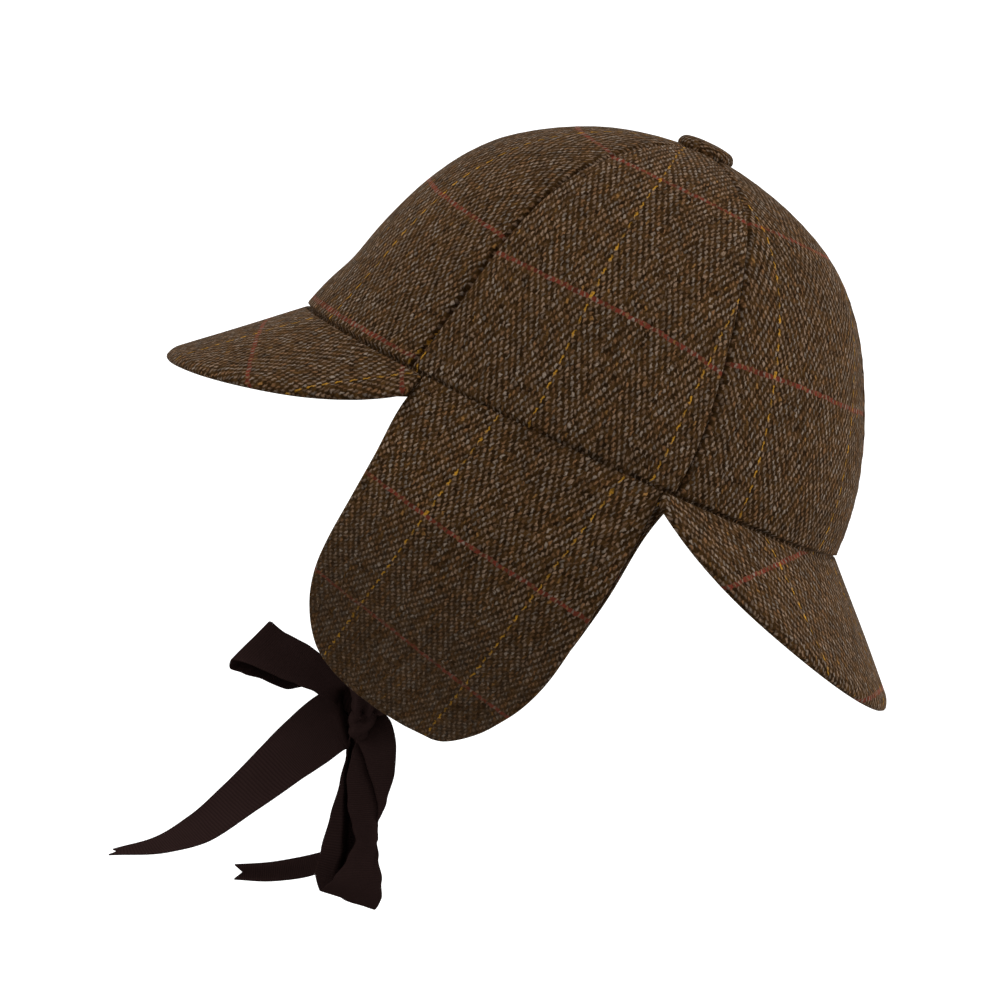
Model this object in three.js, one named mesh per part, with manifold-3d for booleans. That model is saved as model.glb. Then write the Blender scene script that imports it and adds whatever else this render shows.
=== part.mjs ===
// Deerstalker hat: a six-panel crown with a covered button, a visor in front and another behind,
// and two ear flaps let down and drawn together by a ribbon bow under the chin.
// Millimetres, +Z up, the wearer facing -Y with the left ear at +X.
// The origin is the middle of the head opening, in the plane of the rim seam.
import * as THREE from 'three';
import { mergeVertices } from 'three/addons/utils/BufferGeometryUtils.js';
import Module from 'manifold-3d';

const wasm = await Module();
wasm.setup();

// Driving dimensions: the oval of a 58 cm head with the cloth around it
const rim = { halfWidth: 84, halfLength: 103 };
const crown = {
  height: 108, // rim seam to the top of the crown
  waist: 0.034, // how far the wall draws in above the rim and fills out again near the top
  puff: 0.8, // how far the cloth swells out between its seams
  panels: 6,
  wall: 2.2,
  tipRadius: 4, // the panel tips stop here, under the button
};
// Up the crown: back is how far its outline sits behind the rim's
const crownRows = [
  { height: 0, back: 0 },
  { height: 12, back: 1.4 },
  { height: 28, back: 2.1 },
  { height: 60, back: 1.4 },
  { height: 80, back: 1.6 },
  { height: 96, back: 2.4 },
  { height: 108, back: 0.8 },
];
const frontDent = { height: 23, spreadHeight: 11, spreadTurn: 0.45, depth: 1.5 };
const seam = { gap: 0.3, dip: 1.4, reach: 3.5 }; // sewn edges sink by dip and recover over reach
const button = { radius: 10.3, height: 4.4, edge: 1.6 };
const visorWall = 2.6;
const flapWall = 2.6;
const ribbon = { width: 25, thickness: 1, clearance: 0.3, notch: 5 }; // notch is the depth of a tail's V

// A visor's reach is its depth along the slope, and slope is degrees below the rim plane
const visors = [
  { name: 'visor_front', facing: -1, endTurn: 62.3, midReach: 54.6, endReach: 9, midSlope: 42.3, endSlope: 61 },
  { name: 'visor_back', facing: 1, endTurn: 64.6, midReach: 57, endReach: 6, midSlope: 43.8, endSlope: 47 },
];
const visorTaper = 0.84;

// The flaps hang alike, but the right one swings a little forward in the middle of its drop
const flaps = [
  { name: 'ear_flap_left', tie: 'tie_left', side: 1, swing: 0 },
  { name: 'ear_flap_right', tie: 'tie_right', side: -1, swing: 5.5 },
];
// Down a flap: lean is degrees inwards from upright, front and back are where its edges run along y,
// and flatten is the share of the rim's curve that is lost
const flapRows = [
  { drop: 0, lean: 0, front: -45.5, back: 42.9, flatten: 0 },
  { drop: 14, lean: 2, front: -48.7, back: 42.6, flatten: 0.05 },
  { drop: 32, lean: 7, front: -49.7, back: 41.3, flatten: 0.14 },
  { drop: 50, lean: 20, front: -51.4, back: 39.2, flatten: 0.25 },
  { drop: 68, lean: 33, front: -53.4, back: 36.8, flatten: 0.36 },
  { drop: 82, lean: 38, front: -54.2, back: 34.5, flatten: 0.43 },
  { drop: 94, lean: 40, front: -53.3, back: 31.6, flatten: 0.47 },
  { drop: 104, lean: 41, front: -50.9, back: 28.2, flatten: 0.5 },
  { drop: 113, lean: 42, front: -47.4, back: 24, flatten: 0.5 },
  { drop: 120, lean: 42, front: -43.2, back: 20.3, flatten: 0.5 },
  { drop: 126, lean: 43, front: -36.4, back: 16.2, flatten: 0.5 },
  { drop: 130, lean: 43, front: -27.5, back: 12.8, flatten: 0.5 },
  { drop: 133, lean: 43, front: -13, back: 9.5, flatten: 0.5 },
  { drop: 135.5, lean: 43, front: -6, back: 5.5, flatten: 0.5 },
];

// The bow, in the order that the ribbon runs: middle of the ribbon, the way across it,
// and share, how much of its width is open where the knot gathers it
const knot = { x: 0, y: -24, z: -124, acrossRadius: 7, depthRadius: 7.5, halfHeight: 9.5, tilt: 18 };
const tieSewn = { drops: [110, 119, 128], y: -19 }; // where the tie is sewn inside its flap
const tieRows = [
  { x: 19.5, y: -20, z: -118, ax: 0.05, ay: 0.95, az: 0.3, share: 0.85 },
  { x: 11, y: -22, z: -121, ax: 0.05, ay: 0.75, az: 0.65, share: 0.55 },
  { x: 2, y: -23.5, z: -122, ax: 0, ay: 0.6, az: 0.8, share: 0.4 },
];
const frontLoopRows = [
  { x: 2, y: -24, z: -123, ax: -0.5, ay: 0, az: 0.86, share: 0.36 },
  { x: 5.5, y: -38, z: -118.5, ax: -0.7, ay: 0.1, az: 0.7, share: 0.46 },
  { x: 6.5, y: -47, z: -116.7, ax: -0.63, ay: 0.08, az: 0.77, share: 0.64 },
  { x: 5.5, y: -55, z: -116.7, ax: -0.71, ay: 0.08, az: 0.7, share: 0.76 },
  { x: 3, y: -64, z: -117.4, ax: -0.79, ay: 0.12, az: 0.6, share: 0.86 },
  { x: -2, y: -71.5, z: -118.6, ax: -0.79, ay: 0.15, az: 0.6, share: 0.95 },
  { x: -7, y: -68, z: -121.4, ax: -0.81, ay: 0.08, az: 0.58, share: 1 },
  { x: -8, y: -58.5, z: -122.1, ax: -0.8, ay: 0.02, az: 0.6, share: 0.92 },
  { x: -7, y: -50, z: -120.6, ax: -0.79, ay: 0.05, az: 0.61, share: 0.72 },
  { x: -6, y: -40, z: -118.8, ax: -0.7, ay: 0.1, az: 0.7, share: 0.46 },
  { x: -2, y: -25, z: -121.5, ax: -0.5, ay: 0, az: 0.86, share: 0.36 },
];
const frontTailRows = [
  { x: 0, y: -24, z: -127.5, ax: 0.23, ay: 0.8, az: -0.56, share: 0.4 },
  { x: 0, y: -28, z: -130.5, ax: 0.38, ay: 0.77, az: -0.52, share: 0.62 },
  { x: 0, y: -33, z: -134.2, ax: 0.42, ay: 0.8, az: -0.42, share: 0.92 },
  { x: 0, y: -42, z: -151.5, ax: 0.62, ay: 0.76, az: -0.19, share: 1 },
  { x: -1, y: -51, z: -170.5, ax: 0.75, ay: 0.66, az: -0.07, share: 1 },
  { x: -3, y: -60, z: -188.7, ax: 0.83, ay: 0.55, az: -0.06, share: 1 },
  { x: -4, y: -70.5, z: -200.2, ax: 0.91, ay: 0.4, az: -0.03, share: 1 },
  { x: -6, y: -82.5, z: -208.5, ax: 0.97, ay: 0.2, az: 0.05, share: 1 },
];
const lowLoopRows = [
  { x: 3.5, y: -21.5, z: -125, ax: -0.7, ay: 0.5, az: 0.5, share: 0.36 },
  { x: 7, y: -14.7, z: -132, ax: -0.64, ay: 0.67, az: 0.38, share: 0.62 },
  { x: 9, y: -10.2, z: -142.5, ax: -0.61, ay: 0.72, az: 0.33, share: 0.74 },
  { x: 8.5, y: -6.5, z: -153.3, ax: -0.71, ay: 0.65, az: 0.26, share: 0.62 },
  { x: 7, y: -2.8, z: -163.5, ax: -0.8, ay: 0.58, az: 0.15, share: 0.47 },
  { x: 5.5, y: 0, z: -174, ax: -0.75, ay: 0.64, az: 0.15, share: 0.74 },
  { x: 3.5, y: 1.5, z: -181.5, ax: -0.64, ay: 0.75, az: 0.14, share: 0.95 },
  { x: -1, y: 0, z: -187, ax: -0.55, ay: 0.83, az: 0.06, share: 1 },
  { x: -6, y: -5.5, z: -183.5, ax: -0.7, ay: 0.71, az: 0.06, share: 0.96 },
  { x: -8.5, y: -10, z: -172.2, ax: -0.76, ay: 0.63, az: 0.14, share: 0.88 },
  { x: -9, y: -13, z: -160.5, ax: -0.76, ay: 0.62, az: 0.2, share: 0.84 },
  { x: -8, y: -16, z: -148, ax: -0.77, ay: 0.61, az: 0.2, share: 0.76 },
  { x: -5, y: -19.6, z: -136.5, ax: -0.8, ay: 0.57, az: 0.19, share: 0.52 },
  { x: -2.5, y: -22.5, z: -127, ax: -0.82, ay: 0.55, az: 0.18, share: 0.36 },
];
const lowTailRows = [
  { x: -4, y: -22.5, z: -124, ax: -0.9, ay: 0.4, az: 0.1, share: 0.36 },
  { x: -13, y: -18.4, z: -136.9, ax: -0.9, ay: 0.42, az: 0.1, share: 0.6 },
  { x: -19, y: -13.5, z: -148.3, ax: -0.91, ay: 0.4, az: 0.1, share: 0.85 },
  { x: -23, y: -9.8, z: -159, ax: -0.94, ay: 0.33, az: 0, share: 1 },
  { x: -24.5, y: -9.5, z: -169, ax: -0.99, ay: 0.1, az: 0, share: 1 },
  { x: -23.5, y: -12.5, z: -177.5, ax: -0.99, ay: -0.08, az: 0.05, share: 1 },
  { x: -21.5, y: -18.5, z: -184.1, ax: -0.97, ay: -0.17, az: 0.13, share: 1 },
  { x: -18, y: -30, z: -192.3, ax: -0.98, ay: -0.2, az: 0.06, share: 1 },
  { x: -14.5, y: -43, z: -198.5, ax: -0.98, ay: -0.2, az: 0, share: 1 },
];

// Materials
const tweed = new THREE.MeshStandardMaterial({ color: 0x4b3a27, roughness: 0.95, metalness: 0 });
const grosgrain = new THREE.MeshStandardMaterial({ color: 0x271a18, roughness: 0.7, metalness: 0 });

// The rim oval, with turn measured from the front towards the wearer's left
function rimPoint(turn) {
  return new THREE.Vector3(rim.halfWidth * Math.sin(turn), -rim.halfLength * Math.cos(turn), 0);
}

// The turn that is a given share of the way round the rim, by length
function turnAtShare(share) {
  const steps = 7200;
  const lengths = [0];
  for (let i = 1; i <= steps; i++) {
    const from = rimPoint(((i - 1) / steps) * 2 * Math.PI);
    lengths.push(lengths[i - 1] + from.distanceTo(rimPoint((i / steps) * 2 * Math.PI)));
  }
  const wanted = share * lengths[steps];
  const next = Math.max(1, lengths.findIndex((length) => length >= wanted));
  const part = (wanted - lengths[next - 1]) / (lengths[next] - lengths[next - 1]);
  return ((next - 1 + part) / steps) * 2 * Math.PI;
}

// A value from a table's named column, in straight lines between the rows
function column(rows, along, name, at) {
  let i = rows.findIndex((row) => row[along] > at);
  if (i < 1) i = i < 0 ? rows.length - 1 : 1;
  const part = (at - rows[i - 1][along]) / (rows[i][along] - rows[i - 1][along]);
  return THREE.MathUtils.lerp(rows[i - 1][name], rows[i][name], THREE.MathUtils.clamp(part, 0, 1));
}

// A closed geometry from points and triangles, with its faces pointing out
function closed(points, triangles) {
  let volume = 0;
  for (const [i, j, k] of triangles) {
    volume += points[i].dot(new THREE.Vector3().crossVectors(points[j], points[k]));
  }
  const outward = volume > 0 ? triangles : triangles.map(([i, j, k]) => [i, k, j]);
  const geometry = new THREE.BufferGeometry().setFromPoints(points);
  geometry.setIndex(outward.flat());
  geometry.computeVertexNormals();
  return geometry;
}

// The point that lies a depth below a surface, on the side away from the outward hint
function below(surface, u, v, depth, outwardHint) {
  const step = 1e-4;
  const point = surface(u, v);
  const du = surface(u + step, v).sub(surface(u - step, v));
  const dv = surface(u, v + step).sub(surface(u, v - step));
  const normal = du.cross(dv).normalize();
  return point.addScaledVector(normal, normal.dot(outwardHint(point)) < 0 ? depth : -depth);
}

// A wall of cloth: the outer surface over a grid of u and v, an inner one below it, and the edges
function clothWall(surface, us, vs, thickness, outwardHint) {
  const outer = vs.flatMap((v) => us.map((u) => surface(u, v)));
  const inner = vs.flatMap((v) => us.map((u) => below(surface, u, v, thickness, outwardHint)));
  const columns = us.length;
  const under = outer.length;
  const triangles = [];
  const quad = (i, j, k, l) => triangles.push([i, j, k], [i, k, l]);
  for (let r = 0; r < vs.length - 1; r++) {
    for (let c = 0; c < columns - 1; c++) {
      const i = r * columns + c;
      quad(i, i + 1, i + columns + 1, i + columns);
      quad(under + i, under + i + columns, under + i + columns + 1, under + i + 1);
    }
  }
  const last = (vs.length - 1) * columns;
  for (let c = 0; c < columns - 1; c++) {
    quad(c, under + c, under + c + 1, c + 1);
    quad(last + c, last + c + 1, under + last + c + 1, under + last + c);
  }
  for (let r = 0; r < vs.length - 1; r++) {
    const i = r * columns;
    const j = i + columns - 1;
    quad(i, i + columns, under + i + columns, under + i);
    quad(j, under + j, under + j + columns, j + columns);
  }
  return closed([...outer, ...inner], triangles);
}

// Places from 0 to 1, closer together at both ends, where sewn edges curl
function endsCloser(count) {
  return Array.from({ length: count + 1 }, (_, i) => (1 - Math.cos((Math.PI * i) / count)) / 2);
}

function evenly(from, to, count) {
  return Array.from({ length: count + 1 }, (_, i) => from + ((to - from) * i) / count);
}

// How far sewn cloth sinks at a distance from its seam
function sink(distance) {
  return seam.dip * Math.exp(-((distance / seam.reach) ** 2));
}

// A smooth rise to 1 in the middle of a patch, from distances in shares of its spread
function bump(a, b) {
  return Math.exp(-(a * a) - b * b);
}

// The outside of the crown, with rise from 0 at the rim to a right angle at the top
function crownPoint(turn, rise) {
  const reach = Math.cos(rise) * (1 - crown.waist * Math.sin(4 * rise));
  const point = rimPoint(turn).multiplyScalar(reach);
  point.z = crown.height * Math.sin(rise);
  point.y += column(crownRows, 'height', 'back', point.z);
  return point;
}

function crownNormal(point) {
  const radii = new THREE.Vector3(rim.halfWidth, rim.halfLength, crown.height);
  return point.clone().divide(radii).divide(radii).normalize();
}

function crownPanel(index) {
  const topRise = Math.acos(crown.tipRadius / rim.halfWidth);
  const turns = [turnAtShare(index / crown.panels), turnAtShare((index + 1) / crown.panels)];
  const surface = (u, v) => {
    const rise = v * topRise;
    const left = crownPoint(turns[0], rise);
    const width = left.distanceTo(crownPoint(turns[1], rise));
    const inset = seam.gap / 2 / width;
    const share = THREE.MathUtils.lerp(inset, 1 - inset, u);
    const around = THREE.MathUtils.lerp(turns[0], turns[1], share);
    const turn = Math.min(around, 2 * Math.PI - around);
    const point = crownPoint(around, rise);
    const toSide = width * Math.min(share, 1 - share);
    const toRim = crown.height * rise;
    const up = (point.z - frontDent.height) / frontDent.spreadHeight;
    const dent = frontDent.depth * bump(turn / frontDent.spreadTurn, up);
    const sunk = Math.min(sink(toSide) + sink(toRim), seam.dip);
    return point.addScaledVector(crownNormal(point), (crown.puff - sunk) * Math.cos(rise) - dent);
  };
  return clothWall(surface, endsCloser(12), evenly(0, 1, 14), crown.wall, crownNormal);
}

// The button: a flattened dome with a rolled edge, on the flat of the crown's top
function topButton() {
  const base = crown.height + seam.gap;
  const profile = [new THREE.Vector2(0, base), new THREE.Vector2(button.radius - button.edge, base)];
  for (const angle of evenly(-Math.PI / 2, Math.PI / 6, 4).slice(1)) {
    const out = button.radius - button.edge + button.edge * Math.cos(angle);
    profile.push(new THREE.Vector2(out, base + button.edge * (1 + Math.sin(angle))));
  }
  const shoulder = profile[profile.length - 1];
  for (const share of evenly(0, 1, 5).slice(1)) {
    const out = shoulder.x * Math.cos((share * Math.PI) / 2);
    const up = shoulder.y + (base + button.height - shoulder.y) * Math.sin((share * Math.PI) / 2);
    profile.push(new THREE.Vector2(share < 1 ? out : 0, up));
  }
  const geometry = new THREE.LatheGeometry(profile, 28);
  geometry.rotateX(Math.PI / 2);
  return geometry.translate(0, crownRows[crownRows.length - 1].back, 0);
}

// A visor: sewn to the rim between the flaps, sloping down and out, deepest in the middle
function visor({ facing, endTurn, midReach, endReach, midSlope, endSlope }) {
  const surface = (u, v) => {
    const turn = THREE.MathUtils.degToRad(endTurn * u);
    const centre = Math.max(0, Math.cos((Math.PI / 2) * u)) ** visorTaper;
    const reach = v * THREE.MathUtils.lerp(endReach, midReach, centre);
    const slope = THREE.MathUtils.degToRad(THREE.MathUtils.lerp(midSlope, endSlope, u * u));
    const point = rimPoint(facing < 0 ? turn : Math.PI - turn);
    point.addScaledVector(crownNormal(point), reach * Math.cos(slope));
    point.z = -seam.gap - reach * Math.sin(slope);
    return point;
  };
  const up = () => new THREE.Vector3(0, 0, 1);
  return clothWall(surface, evenly(-1, 1, 28), [0, 0.3, 0.65, 0.9, 1], visorWall, up);
}

const flapLength = flapRows[flapRows.length - 1].drop;

function flapAt(name, drop) {
  return column(flapRows, 'drop', name, drop);
}

// The flap's line in the middle, from the rim down: x inwards and z down along the leaning cloth
function flapMiddle(drop) {
  const steps = 60;
  const point = { x: rim.halfWidth, z: -seam.gap };
  for (let i = 0; i < steps; i++) {
    const lean = THREE.MathUtils.degToRad(flapAt('lean', ((i + 0.5) / steps) * drop));
    point.x -= (Math.sin(lean) * drop) / steps;
    point.z -= (Math.cos(lean) * drop) / steps;
  }
  return point;
}

// The outside of an ear flap, with u across it from its front edge to the back and v down it from the rim
function flapSurface({ side, swing }) {
  return (u, v) => {
    const drop = v * flapLength;
    const middle = flapMiddle(drop);
    const edge = THREE.MathUtils.lerp(flapAt('front', drop), flapAt('back', drop), u);
    const y = edge - swing * Math.sin(Math.PI * v);
    const curve = rim.halfWidth * (1 - Math.sqrt(1 - (y / rim.halfLength) ** 2));
    return new THREE.Vector3(side * (middle.x - curve * (1 - flapAt('flatten', drop))), y, middle.z);
  };
}

function flapOutward({ side }) {
  return () => new THREE.Vector3(side, 0, -0.6);
}

// An ear flap: it hangs from the rim, bends in towards the chin and ends in a round
function earFlap(row) {
  const shares = flapRows.map(({ drop }) => drop / flapLength);
  return clothWall(flapSurface(row), endsCloser(12), shares, flapWall, flapOutward(row));
}

// A tie: sewn to the inside of its flap, then over the flap's end and across to the knot
function flapTie(row) {
  const surface = flapSurface(row);
  const depth = flapWall + ribbon.clearance + ribbon.thickness;
  const sewn = tieSewn.drops.map((drop) => {
    const v = drop / flapLength;
    const u = (tieSewn.y - flapAt('front', drop)) / (flapAt('back', drop) - flapAt('front', drop));
    const { x, y, z } = below(surface, u, v, depth, flapOutward(row));
    const across = surface(u + 0.1, v).sub(surface(u - 0.1, v)).normalize();
    return { x, y, z, ax: across.x, ay: across.y, az: across.z, share: 1 };
  });
  const free = tieRows.map((tie) => ({ ...tie, x: row.side * tie.x, ax: row.side * tie.ax }));
  return ribbonStrip([...sewn, ...free]);
}

// The knot that holds the bow: a short barrel of wound ribbon, leaning with the tails
function bowKnot(swell) {
  const profile = [];
  const sides = 10;
  for (let i = 0; i <= sides; i++) {
    const angle = (Math.PI * i) / sides - Math.PI / 2;
    const out = i % sides === 0 ? 0 : Math.abs(Math.cos(angle)) ** 0.6;
    profile.push(new THREE.Vector2(out, Math.sign(Math.sin(angle)) * Math.abs(Math.sin(angle)) ** 0.85));
  }
  const geometry = new THREE.LatheGeometry(profile, 16);
  geometry.rotateX(Math.PI / 2);
  geometry.scale(knot.depthRadius + swell, knot.acrossRadius + swell, knot.halfHeight + swell);
  geometry.rotateX(THREE.MathUtils.degToRad(knot.tilt));
  return geometry.translate(knot.x, knot.y, knot.z);
}

// A stretch of ribbon through a table's rows, its last end cut to a V where a notch is given
function ribbonStrip(rows, notch = 0) {
  const middle = new THREE.CatmullRomCurve3(rows.map(({ x, y, z }) => new THREE.Vector3(x, y, z)));
  const across = new THREE.CatmullRomCurve3(rows.map(({ ax, ay, az }) => new THREE.Vector3(ax, ay, az)));
  const steps = 4 * (rows.length - 1);
  const section = [[-1, -1], [0, -1], [1, -1], [1, 1], [0, 1], [-1, 1]];
  const sides = section.length;
  const points = [];
  const triangles = [];
  for (let i = 0; i <= steps; i++) {
    for (const [w, f] of section) {
      const t = (i / steps) * (w === 0 ? 1 - notch / middle.getLength() : 1);
      const at = t * (rows.length - 1);
      const row = Math.min(Math.floor(at), rows.length - 2);
      const share = THREE.MathUtils.lerp(rows[row].share, rows[row + 1].share, at - row);
      const along = middle.getTangent(t);
      const wide = across.getPoint(t);
      wide.addScaledVector(along, -wide.dot(along)).normalize();
      const face = new THREE.Vector3().crossVectors(along, wide);
      const point = middle.getPoint(t);
      point.addScaledVector(wide, (w * share * ribbon.width) / 2);
      points.push(point.addScaledVector(face, (f * ribbon.thickness) / 2));
    }
    for (let k = 0; k < sides && i > 0; k++) {
      const a = sides * (i - 1) + k;
      const b = sides * (i - 1) + ((k + 1) % sides);
      triangles.push([a, b, b + sides], [a, b + sides, a + sides]);
    }
  }
  const end = sides * steps;
  for (const [a, b, c] of [[0, 4, 1], [0, 5, 4], [1, 3, 2], [1, 4, 3]]) {
    triangles.push([a, b, c], [end + a, end + c, end + b]);
  }
  return closed(points, triangles);
}

function toSolid(geometry) {
  geometry.deleteAttribute('normal');
  geometry.deleteAttribute('uv');
  const merged = mergeVertices(geometry);
  const vertProperties = new Float32Array(merged.attributes.position.array);
  const triVerts = new Uint32Array(merged.index.array);
  return new wasm.Manifold(new wasm.Mesh({ numProp: 3, vertProperties, triVerts }));
}

// A ribbon stretch cut back to the face of the knot
function cutAtKnot(geometry) {
  const cut = toSolid(geometry).subtract(toSolid(bowKnot(ribbon.clearance))).getMesh();
  const result = new THREE.BufferGeometry();
  result.setAttribute('position', new THREE.BufferAttribute(cut.vertProperties, 3));
  result.setIndex(new THREE.BufferAttribute(cut.triVerts, 1));
  result.computeVertexNormals();
  return result;
}

// The assembly
const hat = new THREE.Group();
function piece(name, geometry, material) {
  const mesh = new THREE.Mesh(geometry, material);
  mesh.name = name;
  hat.add(mesh);
}

const panelNames = ['front_left', 'left', 'back_left', 'back_right', 'right', 'front_right'];
panelNames.forEach((name, index) => piece(`crown_panel_${name}`, crownPanel(index), tweed));
piece('top_button', topButton(), tweed);
for (const row of visors) piece(row.name, visor(row), tweed);
for (const row of flaps) {
  piece(row.name, earFlap(row), tweed);
  piece(row.tie, cutAtKnot(flapTie(row)), grosgrain);
}
piece('bow_knot', bowKnot(0), grosgrain);
piece('bow_loop_front', cutAtKnot(ribbonStrip(frontLoopRows)), grosgrain);
piece('bow_loop_low', cutAtKnot(ribbonStrip(lowLoopRows)), grosgrain);
piece('bow_tail_front', cutAtKnot(ribbonStrip(frontTailRows, ribbon.notch)), grosgrain);
piece('bow_tail_low', cutAtKnot(ribbonStrip(lowTailRows, ribbon.notch)), grosgrain);

export default hat;
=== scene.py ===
import math
import bpy
from mathutils import Matrix, Vector, noise


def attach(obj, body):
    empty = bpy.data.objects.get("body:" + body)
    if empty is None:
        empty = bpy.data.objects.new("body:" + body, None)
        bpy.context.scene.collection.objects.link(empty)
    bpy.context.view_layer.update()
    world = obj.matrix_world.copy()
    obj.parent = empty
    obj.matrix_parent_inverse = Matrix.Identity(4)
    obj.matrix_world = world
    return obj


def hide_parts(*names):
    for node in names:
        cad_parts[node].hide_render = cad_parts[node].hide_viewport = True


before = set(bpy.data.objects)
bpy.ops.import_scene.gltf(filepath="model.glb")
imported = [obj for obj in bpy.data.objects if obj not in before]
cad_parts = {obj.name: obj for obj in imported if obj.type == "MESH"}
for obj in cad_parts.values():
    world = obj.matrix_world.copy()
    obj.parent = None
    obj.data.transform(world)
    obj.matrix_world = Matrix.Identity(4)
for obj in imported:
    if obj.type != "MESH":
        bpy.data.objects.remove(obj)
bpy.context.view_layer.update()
bpy.ops.object.select_all(action="DESELECT")
scene = bpy.context.scene
mm = 0.001  # cloth and ribbon sizes below are in millimetres, meshes in metres


# shader values
class Val:
    def __init__(self, tree, socket=None):
        self.tree, self.socket = tree, socket

    def node(self, kind, settings=None, inputs=None, out=0):
        made = self.tree.nodes.new(kind)
        for key, value in (settings or {}).items():
            setattr(made, key, value)
        for key, value in (inputs or {}).items():
            if isinstance(value, Val):
                self.tree.links.new(value.socket, made.inputs[key])
            elif value is not None:
                made.inputs[key].default_value = value
        return Val(self.tree, made.outputs[out] if len(made.outputs) else None)

    def math(self, operation, other=None):
        return self.node("ShaderNodeMath", {"operation": operation}, {0: self, 1: other})

    def __add__(self, other):
        return self.math("ADD", other)

    def __radd__(self, other):
        return self.math("ADD", other)

    def __sub__(self, other):
        return self.math("SUBTRACT", other)

    def __rsub__(self, other):
        return self.node("ShaderNodeMath", {"operation": "SUBTRACT"}, {0: other, 1: self})

    def __mul__(self, other):
        return self.math("MULTIPLY", other)

    def __rmul__(self, other):
        return self.math("MULTIPLY", other)

    def __truediv__(self, other):
        return self.math("DIVIDE", other)

    def __mod__(self, other):
        return self.math("FLOORED_MODULO", other)

    def __pow__(self, other):
        return self.math("POWER", other)

    def __lt__(self, other):
        return self.math("LESS_THAN", other)

    def __abs__(self):
        return self.math("ABSOLUTE")

    def floor(self):
        return self.math("FLOOR")

    def sin(self):
        return self.math("SINE")

    def cos(self):
        return self.math("COSINE")

    def clamp(self):
        return self.node("ShaderNodeClamp", {}, {0: self})

    def between(self, low, high):  # 0 up to low, 1 from high on
        return ((self - low) / (high - low)).clamp()

    def spread(self, low, high):  # 0 to 1 becomes low to high
        return self * (high - low) + low


def vectorMath(operation, a, b):
    return a.node("ShaderNodeVectorMath", {"operation": operation}, {0: a, 1: b})


def clothNoise(at, scale, detail, roughness=0.5, out=0):
    return at.node("ShaderNodeTexNoise", {"noise_dimensions": "2D"},
                   {"Vector": at, "Scale": scale, "Detail": detail, "Roughness": roughness}, out=out)


def component(vector, axis):
    return vector.node("ShaderNodeSeparateXYZ", {}, {0: vector}, out=axis)


def grey(tone):
    return tone.node("ShaderNodeCombineColor", {}, {0: tone, 1: tone, 2: tone})


def mixColour(factor, a, b):
    return factor.node("ShaderNodeMix", {"data_type": "RGBA"}, {0: factor, 6: a, 7: b}, out=2)


def shade(colour, tone):  # a colour made lighter or darker
    return tone.node("ShaderNodeMix", {"data_type": "RGBA", "blend_type": "MULTIPLY"},
                     {0: 1.0, 6: colour, 7: grey(tone)}, out=2)


def srgb(r, g, b):  # screen colour in 0-255 to the shader's linear colour
    linear = ((c / 255 / 12.92) if c <= 10 else ((c / 255 + 0.055) / 1.055) ** 2.4 for c in (r, g, b))
    return (*linear, 1)


def newMaterial(name):
    material = bpy.data.materials.new(name)
    material.use_nodes = True
    tree = material.node_tree
    tree.nodes.clear()
    return material, Val(tree)


def bump(height, strength, depth):
    return height.node("ShaderNodeBump", {},
                       {"Strength": strength, "Distance": depth * mm, "Height": height})


def finishMaterial(root, colour, roughness, normal, constants):
    surface = root.node("ShaderNodeBsdfPrincipled", {}, {"Base Color": colour, "Roughness": roughness,
                                                         "Normal": normal, **constants})
    root.node("ShaderNodeOutputMaterial", {}, {0: surface})


# tweed: one-up two-down herringbone with a gold and red overcheck
tweed = {
    "endPitch": 0.75,  # between warp yarns
    "pickPitch": 1.62,  # between weft yarns
    "bandEnds": 15,  # the twill turns round after this many ends
    "repeat": 3,  # yarns in the weave's repeat, both ways
    "waves": (0.65, 0.48), "waveBase": 0.5, "waveRange": 2.4,  # the waves added to the twill's own
    "cover": 1.15,  # how far the warp hides the weft
    "wander": [  # yarns wander a little and lie unevenly
        {"scale": 260, "detail": 2, "amount": 1.2}, {"scale": 800, "detail": 1, "amount": 1.1},
    ],
    "tan": srgb(128, 105, 86), "rust": srgb(118, 85, 57), "grey": srgb(132, 117, 104),
    "rustFrom": (0.6, 0.85), "greyFrom": (0.65, 0.9),  # shares of the warp's floats
    "fleckFrom": 0.985, "fleck": 0.2,  # a few floats with some gold in them
    "dark": srgb(42, 26, 8), "darkWarm": srgb(66, 45, 21), "warmFrom": (1 / 3, 2 / 3),
    "warpTones": (0.55, 1.35), "weftTones": (0.6, 1.4),  # darkest and lightest float
    "fibreTones": (0.6, 1.4), "broadTones": (0.85, 1.15),  # along the fibres and over the whole cloth
    "fibre": (2000, 3, 0.65), "heather": (420, 3), "broad": (34, 2),  # noise scale, detail and roughness
    "hueSeed": 731, "weftSeed": 900,
    "gold": srgb(186, 134, 42), "goldEvery": 60, "goldStart": 0.1,
    "goldWidth": 1.05, "goldLength": 2.1, "goldTones": (0.5, 1.6),  # in ends and picks, a thicker yarn
    "red": srgb(120, 50, 38), "redEvery": 34, "redShare": (0.35, 0.9),
    "relief": 0.35, "reliefStrength": 0.9, "fuzz": 0.3, "roughness": (0.86, 0.98),
    "gloss": {"Specular IOR Level": 0.03, "Sheen Weight": 0.04, "Sheen Roughness": 0.6,
              "Sheen Tint": srgb(206, 176, 140)},
}
# the flaps' copy of the tweed: its weave flattened towards the lower end, painted light all over (lighter)
# and painted shade towards the lower end (darker), where the flap bends in and faces down
flapFlatWeaveAndShade = {"amount": 0.45, "from": 10, "length": 70, "cover": 0.3, "lighter": 0.198, "darker": 0.6}


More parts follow.
